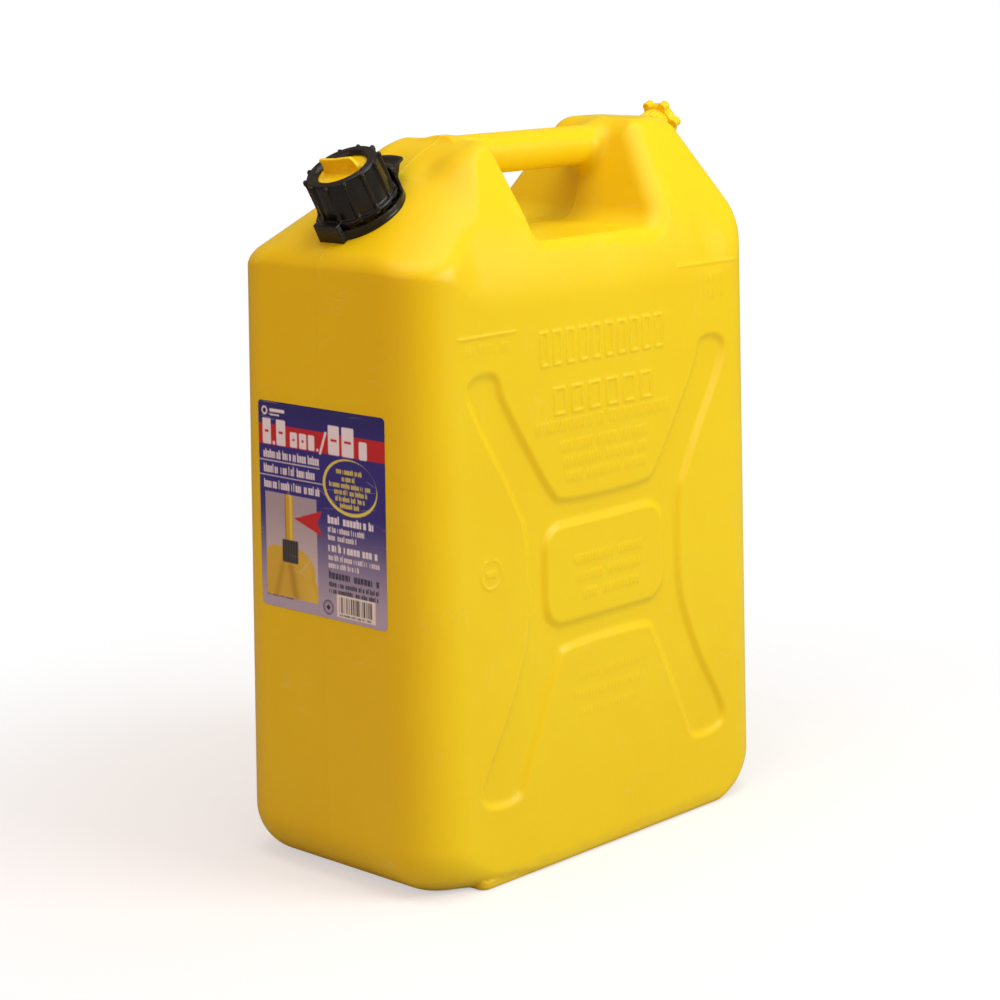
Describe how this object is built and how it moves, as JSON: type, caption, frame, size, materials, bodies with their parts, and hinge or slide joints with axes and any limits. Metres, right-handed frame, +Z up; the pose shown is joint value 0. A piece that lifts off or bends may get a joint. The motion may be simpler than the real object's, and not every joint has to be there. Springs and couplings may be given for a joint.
{
  "type": "jerry can",
  "caption": "Tall plastic fuel can with a carry handle between two humps, a screw collar and closure disc on a sloping neck, a lock ring with release tab, and a lobed vent cap.",
  "frame": {"origin": "centre of the body's footprint, on the plane the can rests on", "axes": "+Z up, X along the can's length with the filling neck at -X and the vent at +X, Y across its width"},
  "size_m": [0.338, 0.1824, 0.4755],
  "materials": {
    "can_plastic": "blow-moulded polyethylene, satin, evenly coloured through",
    "cap_plastic": "injection-moulded, semi-gloss",
    "black_plastic": "injection-moulded, semi-gloss with fine scuffs",
    "seal_rubber": "smooth moulded nitrile",
    "label_film": "printed vinyl film"
  },
  "bodies": {
    "can": {"can_body": "can_plastic", "lock_ring": "black_plastic", "label": "label_film"},
    "tab": {"release_tab": "black_plastic"},
    "closure": {"closure_disc": "cap_plastic", "disc_seal": "seal_rubber", "pour_spout": "cap_plastic", "spout_seal": "seal_rubber"},
    "collar": {"screw_collar": "black_plastic"},
    "vent_gasket": {"vent_seal": "seal_rubber"},
    "vent_knob": {"vent_cap": "cap_plastic"}
  },
  "joints": [
    {"name": "tab_press", "type": "hinge", "parent": "can", "child": "tab", "pos_m": [-0.09995, 0, 0.4336], "axis": [0, 1, 0], "range_deg": [0, 8], "stiffness_Nm_per_rad": 1.5},
    {"name": "collar_turn", "type": "hinge", "parent": "closure", "child": "collar", "pos_m": [-0.1227, 0, 0.417], "axis": [-0.5, 0, 0.866], "range_deg": [0, 540]},
    {"name": "closure_lift", "type": "slide", "parent": "can", "child": "closure", "axis": [-0.5, 0, 0.866], "range_m": [0, 0.009]},
    {"name": "vent_turn", "type": "hinge", "parent": "vent_gasket", "child": "vent_knob", "pos_m": [0.14025, 0, 0.45225], "axis": [0.9304, 0, 0.3665], "range_deg": [0, 540]},
    {"name": "vent_lift", "type": "slide", "parent": "can", "child": "vent_gasket", "axis": [0.9304, 0, 0.3665], "range_m": [0, 0.0045]}
  ],
  "couplings": [
    {"joint": "collar_turn", "follows": "closure_lift", "rad_per_m": 1047.2},
    {"joint": "vent_turn", "follows": "vent_lift", "rad_per_m": 2094.4}
  ]
}
